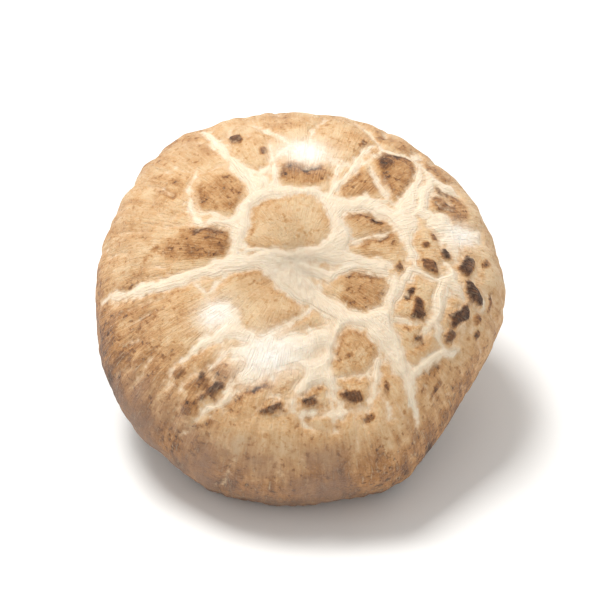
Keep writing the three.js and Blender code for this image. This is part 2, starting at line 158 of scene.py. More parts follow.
# Cap: one skin from the crown over the rolled rim to the roof above the gills
cap = {
    "columns": 480,
    "domeCurve": 4000,  # points on the curves before they are spaced
    "rollCurve": 120,
    "domeStep": 0.34,  # mesh rows, mm along the profile
    "rollStep": 0.4,
    "roofStep": 2.4,
    "roofHeight": 7.4,
    "roofEdgeHeight": 5.6,
    # Edges, with the height and size of each layer of their raggedness
    "warp": [(0.9, 4.5), (0.4, 1.7)],  # of everything on the skin
    "cordWarp": 0.7,  # share of it in the cords of flesh
    "cordEdge": [(0.6, 4.0), (0.3, 1.6)],
    "shortSplitEdge": 0.3,  # share of that in the short splits
    "splitEdge": [(1.3, 6.0), (0.6, 2.2)],
    "patchEdge": [(0.9, 2.2)],
    "patchMargin": 0.8,  # mm by which bare patches are smaller than laid out
    "flakeEdge": [(0.4, 1.5), (0.3, 0.8)],
    # Split area: its edge along the skin from the crown, and where it reaches further
    "splitReach": 27.0,
    "splitSwing": 4.0,
    "splitTowards": math.radians(120),
    "splitMargin": 1.0,
    "plateGap": 1.5,  # cracks between plates that no cord of flesh fills
    "gapSwing": [(0.7, 9.0)],  # share by which they vary, and over what size
    "rightGap": (1.0, 12, 24),  # share by which they are wider on the right, from and to mm
    "gapClosing": (1.4, 14, 22),  # mm by which they close on the whole side, from and to along the skin
    "closingFocus": 1.5,  # more closes them on a narrower side
    "wholeTowards": math.radians(-80),
    "webbing": 1.3,  # cords run into each other over this width
    "fieldLimit": 4.0,  # mm from the skin's edge, beyond which all counts as the same
    # Relief in mm, with the distances from the skin's edge over which it rises
    "grooveDepth": 0.3,  # either side of a cord of flesh
    "grooveSlope": (-0.5, 0.5),
    "cordRise": 0.45,  # from the groove up to the top of a cord
    "cordSlope": (0.2, 1.5),
    "plateCrown": 0.25,
    "crownSlope": (0, 2.5),
    "flakeRise": 0.3,
    "flakeTones": (0.55, 0.75),  # from and to which dark skin rises as a flake
    "cottonDepth": 0.14,
    "cottonSize": 1.3,
    "bareLevel": 0.8,  # share of grooves and cords that bare patches fill
    "bareFill": 0.65,  # and by which the skin's edge fades in them
    "lumps": [(0.45, 10.0), (0.2, 4.0), (0.12, 2.0), (0.06, 0.9)],  # the skin's unevenness
    "rimFibre": 0.2,
    "rimFibreTurns": (30, 30, 5),  # lumps round the cap and down it
    "rimFibreFrom": (36, 44),  # mm along the skin
    "lipPlain": (-1.5, 0.5),  # all relief ends here, mm past the lip
    "lipFlesh": (0.2, -1.2),  # mm past the lip where flesh begins, and its field
    # Tones from pale 0 to dark 1
    "paleTone": 0.02,  # skin round the browner middles of the plates
    "paleFade": (-10, 4),  # mm past the edge of the split area
    "plateFade": (-0.5, 1.0),  # mm inside a plate
    "splitFade": (-4, 6),
    "wholeTone": 0.19,  # whole skin, to which the next four add
    "sideTones": [(0.33, -68, 25), (-0.21, 95, 35)],  # tone, turn and width in degrees
    "rimTonesAndShade": [(0.16, 28, 40), (0.3, 42, 52)],  # tone, from and to mm along the skin; the second, on the roll under the rim, is partly painted shade
    # darker low at the front: partly the skin's own tone, partly painted shade
    "frontDarkAndShade": (0.28, 28, 36),
    # painted light: a little paler behind, where the light falls from above
    "backPaintedLight": (-0.02, 36, 30),
    "frontTowards": math.radians(10),
    "frontSpread": (-0.2, 0.8),  # cosines of the turns from and to which it shows
    "backSpread": (0.4, 0.9),
    "skinSwing": [(0.08, 4.0)],  # tone and size of soft spots, along the skin and through it
    "depthSwing": [(0.1, 8.0)],
    "barePaleAndHighlight": 0.8,  # share of the tone that bare patches lose, partly as a painted highlight
    "bareFade": 1.6,  # more makes them smaller
    "shadeTowards": math.radians(-150),  # the plates' edges on this side, towards the light, get a painted shadow where the flesh overhangs them
    # Grey bloom on the whole skin, with painted shade where it gathers low at the front: shares all over,
    # low at the front and behind
    "bloomAndShadeShares": (0.15, 0.85, 0.2),
    "bloomAndShadeTowards": math.radians(-20),
    "bloomAndShadeSpread": (0.6, 0.95),
    "bloomAndShadeFrom": (26, 32),  # mm along the skin
    "bloomBehind": (0, 0.7),
    "wholeFade": (-6, 4),
    # Short radial splits in the whole skin, finer towards the front left
    "splitCount": 74,
    "splitScatter": 0.4,  # share of the space between two
    "splitStart": (-4.0, 9.0),  # from the edge of the split area
    "splitLength": (2.0, 8.0),
    "splitSlant": 0.06,
    "splitWidth": (0.25, 0.95),
    "splitTip": 0.05,
    "splitFineness": 0.8,
    "fineTowards": math.radians(-35),
    "seed": 5,
    # bare white flesh, its white partly a painted highlight: right of the crown, behind it, length, width,
    # turn in degrees
    "barePatches": [
        (-12.3, -8.2, 6.8, 5.5, 20),
        (-4.3, -14.8, 12, 8, 10),
        (1.2, 19.6, 9.5, 6.5, -5),
        (25.5, 7.2, 7.5, 5, 20),
    ],
    # right of the crown, behind it, length, width, turn in degrees, tone from pale 0 to dark 1
    "plates": [
        (-0.7, 6.1, 12, 8.4, 0, 0.07),
        (-3.9, -5, 14.5, 7.6, -43, 0.14),
        (-14.8, 3.6, 12, 5.4, 8, 0.5),
        (-11.8, 12, 8, 7.4, 0, 0.38),
        (-20, 14, 7, 6.5, 0, 0.36),
        (1, 15.4, 8.5, 5, 0, 0.42),
        (10.4, 7.2, 9.5, 4.4, -20, 0.26),
        (12.4, 2.8, 6, 4.8, 0, 0.26),
        (10, -4.4, 7, 8.2, 0, 0.4),
        (9.8, 13.6, 8.5, 4.8, 28, 0.3),
        (16, 16.5, 11.5, 7, -70, 0.46),
        (24, 13, 8.5, 6.5, 90, 0.46),
        (20.5, 3.5, 6.5, 6.5, 0, 0.06),
        (27.5, 1.5, 8.5, 5.5, 90, 0.1),
        (25.5, -7.5, 7.5, 6.5, 30, 0.06),
        (18.3, -5.5, 7.5, 5, 90, 0.06),
        (8.6, -13.8, 8.6, 7, 0, 0.2),
        (8.8, -20.4, 7, 6.5, 0, 0.14),
        (1.8, -21, 6.5, 6.5, 0, 0.28),
        (13.4, -17.5, 7.5, 5, 60, 0.18),
        (19.5, -12, 7, 6.5, 30, 0.04),
        (23.5, -18, 8.5, 7, 40, 0.34),
        (-22.5, -8.5, 16, 9.5, 5, 0.2),
        (-26, 4, 8.5, 8.5, 0, 0.26),
        (-25.5, 11, 6.5, 6.5, 0, 0.18),
        (-11.5, -19.5, 12.5, 8, -10, 0.3),
        (-2.5, -26.5, 10, 6, 0, 0.16),
        (-15.5, 21.5, 8.5, 7.5, 30, 0.24),
        (-6.8, 21.5, 7, 6, 60, 0.14),
        (8.5, 22.5, 8.5, 6.5, 0, 0.16),
        (-2.5, 27, 9, 5.5, 0, 0.3),
        (16, 26, 8.5, 6.5, -30, 0.36),
        (23.5, 21, 7.5, 6.5, -40, 0.4),
        (1.5, -12, 6, 5, 0, 0.06),
    ],
    # cords of flesh that fill the wide cracks: first and last width, then points right and behind
    "cords": [
        (4.1, 1.4, (-9.5, 0), (-16.5, -2), (-25.5, -3), (-34.5, -1.5)),
        (5.2, 1.0, (12.2, -9.5), (15.2, -14.6), (17.8, -19.5), (20.6, -26)),
        (3.6, 0.9, (-6, 13), (-10.5, 18.5), (-16, 28.5)),
        (3.0, 3.0, (-9.5, 0), (-8.5, 5.5), (-7.5, 9.5), (-4, 11.7), (2, 11.7), (5.5, 9), (6.5, 4)),
        (3.1, 3.8, (-9.5, 0), (-2, 0.7), (4, 1), (6.5, 4)),
        (3.6, 2.2, (0, -1), (4.5, -2.2), (8.5, -1)),
        (4.8, 3.1, (-3.5, -0.6), (2, -6), (7, -9), (12.5, -9.5)),
        (3.6, 2.6, (4, 1), (9, 0.5), (14.5, -1.5), (14, -7), (12.5, -9.5)),
        (3.0, 3.6, (5.5, 9), (10, 10.3), (15.5, 7.5)),
        (4.3, 1.4, (15.5, 7.5), (18, 13.5), (20, 21)),
        (3.4, 1.8, (15.5, 7.5), (17, 2), (16.2, -3), (14, -7)),
        (4.1, 1.2, (22.5, 9), (23.8, 4), (22.8, -2), (21.5, -8), (18.5, -13)),
        (2.9, 2.4, (7, -9), (4.5, -14), (3, -17.5)),
        (2.7, 1.5, (3.6, -17), (5.6, -19.5), (6.6, -22.8)),
        (1.7, 1.4, (12, -15.5), (11.4, -18.5), (10.6, -21.6)),
        (3.3, 1.7, (3, -16.8), (1.2, -19), (-1.2, -21.8), (-3.2, -23.2)),
        (3.1, 1.0, (-9.5, -10.9), (-13.5, -12.4), (-17.7, -14.6), (-20.5, -18.5)),
        (2.4, 0.8, (-7.4, -13.6), (-11, -14.4), (-15, -17.6), (-18.5, -19.5)),
        (3.0, 1.2, (-6.5, -17), (-9.6, -19.6), (-12.9, -21.6), (-16.5, -23.8)),
        (2.0, 0.7, (-9, 6.3), (-14, 6.8), (-21, 7.2)),
        (1.7, 0.6, (-15.5, 7.5), (-16.5, 12.5), (-15.5, 17)),
        (2.4, 0.9, (5.5, 12.5), (8.5, 17), (12, 22.5)),
        (2.2, 0.9, (-4, 11.7), (-3.5, 16.5), (-4.5, 22)),
        (3.1, 2.9, (-11, -8), (-8.5, -11), (-6, -13)),
        (3.1, 1.6, (-4.5, -14.5), (0, -16), (3, -17.5)),
        (1.8, 1.2, (20, 8), (25, 8.5), (29, 7)),
        (1.8, 0.8, (23, -1), (27, -3), (31, -2)),
        (1.7, 1.1, (-1, -23), (3.5, -23.5), (7.1, -23.1), (10.7, -21.9)),
        (4.8, 4.4, (-2.7, -14.8), (0.8, -13.2), (3.9, -12)),
    ],
    # broken skin where the split area ends: right, behind, length, width, turn in degrees
    "crumbs": [
        (-14.4, -20.4, 12, 11, 30),
        (26.5, -3, 20, 10, 95),
        (3, -22.5, 17, 5, 0),
        (22, 15, 11, 7, 110),
    ],
    "crumbSize": 2.2,
    "crumbGap": 0.4,
    "crumbTone": 0.2,  # the darkest crumb
    "crumbFade": (-1, 1.5),  # mm inside the broken skin
    "crumbClosing": 2.0,
    "flakePower": 3,  # more is squarer
    "flakeFade": (-0.2, 0.35),
    # dark flakes left in the cracks: right, behind, length, width, turn in degrees, tone
    "flakes": [
        (13.7, 18.2, 2.8, 2.2, 40, 0.72),
        (11.4, 6.8, 1.6, 0.9, -10, 0.74),
        (15, -0.3, 2.4, 1.4, 60, 0.74),
        (19.4, 3.9, 1.5, 1.2, 60, 0.74),
        (21.1, 5.4, 1.8, 1.3, 0, 0.7),
        (23.1, 3, 1.7, 1.4, 100, 0.9),
        (20.5, 0.4, 3.2, 2.3, -10, 0.78),
        (30.2, 3.4, 2.2, 1.5, 40, 0.6),
        (26.5, 1.6, 3.8, 2.9, 60, 0.86),
        (27.6, -2.5, 4.4, 3.1, 118, 0.88),
        (18.8, -6.8, 3.6, 1.8, 95, 0.82),
        (17.2, -4.4, 1.5, 1, 60, 0.66),
        (26, -6.9, 4.4, 2.9, 32, 0.88),
        (29.4, -6.4, 2.2, 1.5, 70, 0.7),
        (24.6, -10.2, 2.4, 1.9, 70, 0.78),
        (30.2, -9.8, 2.8, 1.5, 100, 0.66),
        (31.9, -2.8, 2.6, 1.3, 95, 0.62),
        (17.3, -10.6, 1.5, 1.1, 30, 0.6),
        (19.2, -11.8, 1.6, 1.1, 0, 0.6),
        (7.6, -14.3, 2, 1.3, 10, 0.6),
        (8.4, -20.7, 3, 2, 10, 0.84),
        (1.7, -21.5, 3.8, 1.7, 5, 0.74),
        (12.9, -19.2, 2.4, 1.1, 75, 0.68),
        (10.6, -23.2, 1.4, 0.9, 0, 0.66),
        (23.4, -20.3, 4.6, 1.4, 60, 0.64),
        (-5.3, -19.2, 3.2, 0.8, 0, 0.6),
        (-4.2, -22.8, 3.2, 1.4, 10, 0.76),
        (-12.5, -19.4, 3.6, 1.8, 42, 0.78),
        (-14.6, -20.4, 2.4, 1.5, 60, 0.72),
        (-15.2, -18.4, 4.6, 3, 38, 0.52),
        (-16.6, -21.6, 4, 2.8, 75, 0.5),
        (-13.6, -24.6, 3.4, 1.8, 15, 0.5),
        (-18.2, -16.4, 2.4, 1.3, 30, 0.66),
        (-14.7, -16.9, 1.8, 1.2, 0, 0.66),
        (-17.2, -22, 3, 1.3, 92, 0.66),
        (-16.4, -25, 3.4, 1.1, 0, 0.7),
        (-9.9, 22.7, 2.3, 1.5, -10, 0.84),
        (-5.1, 19.8, 1.3, 0.9, 60, 0.66),
        (-20.7, 27, 1.8, 1.3, 0, 0.66),
        (-21.8, 3.3, 1.7, 1.2, 20, 0.6),
        (-23.7, 1.9, 1.5, 1, 0, 0.6),
        (-12.6, 1.9, 1.7, 1.1, 0, 0.66),
    ],
}


def swell(turn):  # the cap isn't quite round
    once, twice, thrice = form["swell"]
    share = once * (1 - np.cos(turn)) + twice * np.sin(2 * turn) + thrice * np.sin(3 * turn)
    for depth, middle, width in form["dents"]:
        away = turn - math.radians(middle)
        nearest = np.arctan2(np.sin(away), np.cos(away))
        share = share - depth * np.exp(-((nearest / math.radians(width)) ** 2))
    return share


def rimWave(turn):
    twice, thrice, fiveTimes = form["wave"]
    return twice * np.sin(2 * turn) + thrice * (1 - np.cos(3 * turn)) + fiveTimes * np.sin(5 * turn)


def capPlace(radius, turn, height):
    share = radius / form["capRadius"]
    grown = radius * (1 + swell(turn) * share**2)
    raised = height + rimWave(turn) * share**4
    return np.column_stack((grown * np.sin(turn), -grown * np.cos(turn), raised))


def arc(centre, radii, start, end):
    angle = np.radians(np.linspace(start, end, cap["rollCurve"]))
    return np.column_stack((centre[0] + radii[0] * np.cos(angle), centre[1] + radii[1] * np.sin(angle)))


def capProfile():  # the profile's points, and the row that is the rim's inner lip
    angle = np.linspace(0, math.pi / 2, cap["domeCurve"])
    power = 2 / form["domeFullness"]
    rise = form["capHeight"] - form["widestHeight"]
    dome = np.column_stack((
        form["capRadius"] * np.sin(angle) ** power,
        form["widestHeight"] + rise * np.cos(angle) ** power,
    ))
    rim, widest, lip = form["rimRadius"], form["widestHeight"], form["lipHeight"]
    outer = arc((rim, widest), (form["capRadius"] - rim, widest), 0, -90)
    inner = arc((rim, lip), (rim - form["gillRadius"], lip), -90, -180)
    roof = [(form["gillRadius"], lip), (form["gillRadius"], cap["roofEdgeHeight"]), (0, cap["roofHeight"])]
    dome = evenly(dome, cap["domeStep"])
    rolls = [evenly(outer, cap["rollStep"])[1:], evenly(inner, cap["rollStep"])[1:]]
    lipRow = len(dome) + len(rolls[0]) + len(rolls[1]) - 1
    return np.vstack([dome, *rolls, evenly(roof, cap["roofStep"])[1:]]), lipRow


def ovalField(place, oval, power=2.5):  # mm inside a squarish oval, negative outside
    right, back, length, width, turn = oval[:5]
    tilt = math.radians(turn)
    away = place - (right, back)
    along = np.abs(away @ (math.cos(tilt), math.sin(tilt))) / (length / 2)
    across = np.abs(away @ (-math.sin(tilt), math.cos(tilt))) / (width / 2)
    return (1 - (along**power + across**power) ** (1 / power)) * width / 2


def webbed(first, second, width):  # the lesser of two distances, with the corner between them filled
    overlap = np.maximum(width - np.abs(first - second), 0) / width
    return np.minimum(first, second) - overlap**2 * width / 4


def plateField(place):  # mm inside the plate that holds each point
    plates = np.array(cap["plates"], float)
    middles = plates[:, :2]
    nearness = ((place[:, None] - middles) ** 2).sum(axis=2) - plates[:, 2] * plates[:, 3] / 4
    holder = nearness.argmin(axis=1)
    least = nearness[np.arange(len(place)), holder][:, None]
    apart = np.hypot(*(middles[holder][:, None] - middles).transpose(2, 0, 1))
    border = np.where(apart > 0, (nearness - least) / (2 * np.maximum(apart, 1)), far)
    return border.min(axis=1)


def plateTone(place, ground, split):  # in the split area each plate's middle has a tone of its own
    tone = ground.copy()
    for *oval, middle in cap["plates"]:
        tone += (middle - ground) * smooth(ovalField(place, oval), *cap["plateFade"]) * split
    return tone


def cordField(place, cord):  # mm outside a cord whose width runs from its first to its last
    first, last, *points = cord
    points = np.array(points, float)
    lengths = np.hypot(*np.diff(points, axis=0).T)
    nearest = np.full(len(place), far)
    for index, length in enumerate(lengths):
        start, step = points[index], points[index + 1] - points[index]
        share = np.clip((place - start) @ step / length**2, 0, 1)
        distance = np.hypot(*(place - start - share[:, None] * step).T)
        run = (lengths[:index].sum() + share * length) / lengths.sum()
        nearest = np.minimum(nearest, distance - (first + (last - first) * run) / 2)
    return nearest


def splitReach(turn):
    return cap["splitReach"] + cap["splitSwing"] * np.cos(turn - cap["splitTowards"])


def shortSplits():  # radial splits that run from the split area into the whole skin
    draw = random.Random(cap["seed"])
    scatter, slant = cap["splitScatter"], cap["splitSlant"]
    splits = []
    for index in range(cap["splitCount"]):
        turn = (index + draw.uniform(-scatter, scatter)) / cap["splitCount"] * 2 * math.pi
        start = splitReach(turn) + draw.uniform(*cap["splitStart"])
        length = draw.uniform(*cap["splitLength"])
        way = turn + draw.uniform(-slant, slant)
        ends = [(start, turn), (start + length / 2, (turn + way) / 2), (start + length, way)]
        points = [(reach * math.sin(angle), -reach * math.cos(angle)) for reach, angle in ends]
        width = draw.uniform(*cap["splitWidth"])
        facing = 0.5 + 0.5 * math.cos(turn - cap["fineTowards"])
        splits.append((width * (1 - cap["splitFineness"] * facing), cap["splitTip"], *points))
    return splits


def wholeTone(along, turn):  # darker round the rim, low in front and at the front left, paler on the right; the dark under the rim and low in front is partly painted shade, the faint paleness behind is painted light
    tone = np.full(len(along), cap["wholeTone"])
    for more, side, width in cap["sideTones"]:
        tone += more * np.exp(-(((turn - math.radians(side)) / math.radians(width)) ** 2))
    for more, *span in cap["rimTonesAndShade"]:
        tone += more * smooth(along, *span)
    # partly painted shade, low at the front
    more, *span = cap["frontDarkAndShade"]
    tone += more * smooth(np.cos(turn - cap["frontTowards"]), *cap["frontSpread"]) * smooth(along, *span)
    # painted light: paler behind, where the light falls
    more, *span = cap["backPaintedLight"]
    return tone + more * smooth(-np.cos(turn), *cap["backSpread"]) * smooth(along, *span)


def bareGlow(place):  # 1 in the middle of a bare patch, fading to 0 round it
    glow = np.zeros(len(place))
    for patch in cap["barePatches"]:
        width = patch[3]
        share = 1 - ovalField(place[:, :2], patch, 2) / (width / 2)
        glow = np.maximum(glow, np.exp(-cap["bareFade"] * share**2))
    return glow


def bloomAndShadeCover(along, turn):  # most of the bloom is low at the front, where it is partly painted shade, some of it behind
    everywhere, front, back = cap["bloomAndShadeShares"]
    low = smooth(np.cos(turn - cap["bloomAndShadeTowards"]), *cap["bloomAndShadeSpread"]) * smooth(along, *cap["bloomAndShadeFrom"])
    return everywhere + front * low + back * smooth(-np.cos(turn), *cap["bloomBehind"])


def paintedEdgeShadow(skin, row, turn, along):  # painted shadow: 1 where a plate ends on the light's side and the flesh overhangs it
    column = np.round(turn / (2 * math.pi) * cap["columns"]).astype(int) % cap["columns"]
    grid = np.zeros((len(along), cap["columns"]))
    grid[row, column] = skin
    grid[0] = skin[row == 0][0]
    outwards = np.gradient(grid, axis=0) / cap["domeStep"]
    step = 2 * math.pi / cap["columns"] * np.maximum(along, 1)[:, None]
    sideways = (np.roll(grid, -1, axis=1) - np.roll(grid, 1, axis=1)) / (2 * step)
    away = turn - cap["shadeTowards"]
    return np.clip(sideways[row, column] * np.sin(away) - outwards[row, column] * np.cos(away), 0, 1)


def crumbFields(place):  # mm inside the crumbs of broken skin, and how much darker each of them is
    zone = np.max([ovalField(place[:, :2], oval, 2) for oval in cap["crumbs"]], axis=0)
    inside, darker = np.full(len(place), far), np.zeros(len(place))
    for index in np.flatnonzero(zone > cap["crumbFade"][0]):
        spread, middles = noise.voronoi(place[index] / cap["crumbSize"])
        inside[index] = (spread[1] - spread[0]) * cap["crumbSize"] / 2
        darker[index] = noise.cell(middles[0] * 10)  # spread out, so that no two crumbs share a cell
    closed = 1 - smooth(zone, *cap["crumbFade"])
    return inside - cap["crumbGap"] / 2 + cap["crumbClosing"] * closed, darker * (1 - closed)


def skinFields(along, turn):  # mm inside the brown skin, negative in bare flesh, and its tone
    place = np.column_stack((along * np.sin(turn), -along * np.cos(turn), np.zeros(len(along))))
    warp = np.column_stack([layered(place, cap["warp"], seed, seed + 1) for seed in (1, 3)])
    ragged = place[:, :2] + warp
    gentle = place[:, :2] + cap["cordWarp"] * warp
    # plates with cracks between them, as far as the whole skin
    most, *span = cap["gapClosing"]
    facing = (0.5 + 0.5 * np.cos(turn - cap["wholeTowards"])) ** cap["closingFocus"]
    closing = most * smooth(along, *span) * facing
    wider, *span = cap["rightGap"]
    uneven = 1 + layered(place, cap["gapSwing"], 13) + wider * smooth(place[:, 0], *span)
    plates = plateField(ragged) - (cap["plateGap"] * uneven - closing) / 2
    whole = along - splitReach(turn) - cap["splitMargin"] + layered(place, cap["splitEdge"], 5, 6)
    # flesh in cords, short splits and torn patches
    frayed = layered(place, cap["cordEdge"], 14, 18)
    flesh = np.full(len(along), far)
    for cord in cap["cords"]:
        flesh = webbed(flesh, cordField(gentle, cord) + frayed, cap["webbing"])
    for split in shortSplits():
        flesh = np.minimum(flesh, cordField(gentle, split) + cap["shortSplitEdge"] * frayed)
    torn = cap["patchMargin"] + layered(place, cap["patchEdge"], 17)
    for patch in cap["barePatches"]:
        flesh = webbed(flesh, torn - ovalField(ragged, patch), cap["webbing"])
    crumb, darker = crumbFields(np.column_stack((ragged, place[:, 2])))
    skin = np.minimum(np.minimum(np.maximum(plates, whole), flesh), crumb)
    # tone, and the flakes that lie on the flesh
    bare = bareGlow(place)
    ground = cap["paleTone"] + (wholeTone(along, turn) - cap["paleTone"]) * smooth(whole, *cap["paleFade"])
    tone = plateTone(ragged, ground, 1 - smooth(whole, *cap["splitFade"]))
    # bare patches are paler towards their middles, partly a painted highlight
    tone = tone * (1 - cap["barePaleAndHighlight"] * bare) + cap["crumbTone"] * darker
    chipped = layered(place, cap["flakeEdge"], 15, 19)
    for *oval, dark in cap["flakes"]:
        inside = ovalField(ragged, oval, cap["flakePower"]) + chipped
        tone = np.maximum(tone, dark * smooth(inside, *cap["flakeFade"]))
        skin = np.maximum(skin, inside)
    limit = cap["fieldLimit"]
    return np.clip(skin, -limit, limit) * (1 - cap["bareFill"] * bare), tone, bare, place


def nearestRow(flat, profile):
    parts = np.array_split(flat, 40)  # one at a time, to spare memory
    return np.concatenate([
        np.argmin(np.hypot(*(part[:, None] - profile[None]).transpose(2, 0, 1)), axis=1) for part in parts
    ])


def makeCap():
    profile, lipRow = capProfile()
    piece = turnedPiece("cap", profile, cap["columns"])
    points = readPoints(piece)
    turn = np.arctan2(points[:, 0], -points[:, 1])
    row = nearestRow(np.column_stack((np.hypot(points[:, 0], points[:, 1]), points[:, 2])), profile)
    along = np.concatenate(([0], np.cumsum(np.hypot(*np.diff(profile, axis=0).T))))
    tangent = np.gradient(profile, axis=0)
    tangent /= np.hypot(*tangent.T)[:, None]
    distance, pastLip = along[row], along[row] - along[lipRow]
    skin, tone, bare, place = skinFields(distance, turn)
    lift = cap["cordRise"] * smooth(-skin, *cap["cordSlope"])
    lift -= cap["grooveDepth"] * smooth(-skin, *cap["grooveSlope"])
    lift *= 1 - cap["bareLevel"] * bare
    lift += cap["plateCrown"] * smooth(skin, *cap["crownSlope"])
    lift += cap["cottonDepth"] * bare * grain(points, cap["cottonSize"], 16)
    lift += cap["flakeRise"] * smooth(tone, *cap["flakeTones"])
    lift += layered(points, cap["lumps"], 7, 8, 9, 10)
    weft = np.column_stack((np.sin(turn), -np.cos(turn), distance / form["capRadius"]))
    fibres = grain(weft * cap["rimFibreTurns"], 1, 10)
    lift += cap["rimFibre"] * fibres * smooth(distance, *cap["rimFibreFrom"])
    lift *= 1 - smooth(pastLip, *cap["lipPlain"])
    outer = profile[row] + lift[:, None] * np.column_stack((-tangent[row, 1], tangent[row, 0]))
    writePoints(piece, capPlace(np.maximum(outer[:, 0], 0), turn, outer[:, 1]))
    fleshFrom, fleshField = cap["lipFlesh"]
    spots = layered(place, cap["skinSwing"], 11) + layered(points, cap["depthSwing"], 12)
    whole = smooth(distance - splitReach(turn), *cap["wholeFade"])
    fields = {
        "skin": np.where(pastLip > fleshFrom, fleshField, skin),
        "tone": np.clip(tone + spots, 0, 1),
        "whole": whole,
        "bloomAndShade": whole * bloomAndShadeCover(distance, turn),
        "weft": weft,
        "bare": bare,
        # painted shadow along the plates' edges on the light's side
        "edge": paintedEdgeShadow(skin, row, turn, along),
    }
    for name, values in fields.items():
        writeAttribute(piece, name, values)
    layDown(piece)
    pressFlat(piece)
    return piece


capPiece = makeCap()
print("cap:", len(capPiece.data.polygons), "faces")

# Gills: thin blades in three lengths, hung from the roof of the cap
gills = {
    "slots": 192,
    "tiers": [(9.3, 0, 4), (13.2, 2, 4), (17.0, 1, 2)],  # start radius, first slot, slots to the next
    "end": 22.0,
    "inner": 11.0,  # where the gills meet the stem
    "segments": 9,
    "edgeOuter": 2.2,  # height of the free edges at the lip and at the stem
    "edgeInner": 3.8,
    "rootOuter": 5.9,  # height of the roots, sunk in the roof
    "rootRise": 1.8,
    "rootHalf": 0.24,
    "edgeHalf": 0.13,
    "rise": (-0.4, 2.6),  # a short blade comes down to its full depth over this length
    "waveHeight": (0.1, 0.3),  # least and most, as in the next two
    "wavePitch": (0.5, 0.9),  # radians a mm
    "waveStart": (0, 6),
    "waveFrom": (10, 14),  # radius
    "hang": (-0.15, 0.25),  # of the free edges, up or down
    "rootMargin": 0.5,
    "turnScatter": 0.22,  # share of a slot
    "sharpAngle": math.radians(40),
    "seed": 19,
}


def makeBlade(start):  # a strip extruded along +x, then shaped
    bpy.ops.object.select_all(action="DESELECT")
    bpy.ops.mesh.primitive_plane_add(size=mm, location=(0, 0, 0), rotation=(0, math.pi / 2, 0))
    blade = bpy.context.object
    bpy.ops.object.transform_apply(location=True, rotation=True, scale=True)
    bpy.ops.object.mode_set(mode="EDIT")
    bpy.ops.mesh.select_all(action="SELECT")
    for segment in range(gills["segments"]):
        bpy.ops.mesh.extrude_region_move(TRANSFORM_OT_translate={"value": (mm, 0, 0)})
    bpy.ops.mesh.select_all(action="SELECT")
    bpy.ops.mesh.normals_make_consistent(inside=False)
    bpy.ops.object.mode_set(mode="OBJECT")
    points = readPoints(blade)
    radius = start + (gills["end"] - start) * points[:, 0] / gills["segments"]
    inwards = (form["gillRadius"] - radius) / (form["gillRadius"] - gills["inner"])
    edge = gills["edgeOuter"] + (gills["edgeInner"] - gills["edgeOuter"]) * inwards
    top = gills["rootOuter"] + gills["rootRise"] * (form["gillRadius"] - radius) / form["gillRadius"]
    reach = smooth(radius - start, *gills["rise"]) if start > gills["inner"] else 1
    root = points[:, 2] > 0
    height = np.where(root, top, top + (edge - top) * reach)
    half = np.where(root, gills["rootHalf"], gills["edgeHalf"])
    writePoints(blade, np.column_stack((radius, np.sign(points[:, 1]) * half, height)))
    # 1 at the roots, where the colour darkens as painted shade
    writeAttribute(blade, "depth", root.astype(float))
    return blade


def copyBlade(pattern, slot, draw):  # each copy waves and hangs a little differently
    blade = pattern.copy()
    blade.data = pattern.data.copy()
    bpy.context.collection.objects.link(blade)
    points = readPoints(blade)
    height = draw.uniform(*gills["waveHeight"])
    pitch = draw.uniform(*gills["wavePitch"])
    start = draw.uniform(*gills["waveStart"])
    wave = height * np.sin(points[:, 0] * pitch + start)
    points[:, 1] += wave * smooth(points[:, 0], *gills["waveFrom"])
    free = points[:, 2] < gills["rootOuter"] - gills["rootMargin"]
    points[:, 2] += draw.uniform(*gills["hang"]) * free
    writePoints(blade, points)
    scatter = gills["turnScatter"]
    turn = (slot + draw.uniform(-scatter, scatter)) / gills["slots"] * 2 * math.pi
    blade.rotation_euler = (0, 0, turn - math.pi / 2)
    return blade


def makeGills():
    draw = random.Random(gills["seed"])
    blades = []
    for start, first, step in gills["tiers"]:
        pattern = makeBlade(start)
        blades += [copyBlade(pattern, slot, draw) for slot in range(first, gills["slots"], step)]
        bpy.data.objects.remove(pattern)
    bpy.ops.object.select_all(action="DESELECT")
    for blade in blades:
        blade.select_set(True)
    bpy.context.view_layer.objects.active = blades[0]
    bpy.ops.object.transform_apply(location=True, rotation=True, scale=True)
    bpy.ops.object.join()
    piece = bpy.context.object
    piece.name = "gills"
    bpy.ops.object.shade_smooth_by_angle(angle=gills["sharpAngle"])
    layDown(piece)
    pressFlat(piece)
    return piece


gillPiece = makeGills()
print("gills:", len(gillPiece.data.polygons), "faces")

# Stem: a fibrous stump that flares into the gills, bends off the axis and is cut flat
stem = {
    "columns": 28,
    "levels": 3,
    "profile": [  # radius and height
        (0, 8.5), (6, 8.5), (11, 7), (10.3, 4.5), (9, 0.5), (8.5, -3), (8.3, -8),
        (9, -13.5), (9.4, -18), (9.5, -24), (5, -24), (0, -24),
    ],
    "bendStart": 9.5,
    "flutes": (0.05, 0.03),  # shares of the radius that go round twice and three times
    "fluteTurn": 1.0,
    "weftRadius": 9.0,  # heights are shares of this in the fibres' own coordinates
    "fibreTurns": [(7, 7, 0.8), (16, 16, 1.6)],  # broad and fine furrows, lumps round the stem and down it
    "fineShare": 0.6,
    "fibreDepth": 0.28,
    "fibreFrom": (5, 8),  # radius, so that the cut end has none
    "lumpDepth": 0.3,
    "lumpSize": 5.0,
    "cutEdge": 0.5,
    "cutHeight": (0.01, 0.05),  # the cut face ends here
    "sharpAngle": math.radians(50),
}


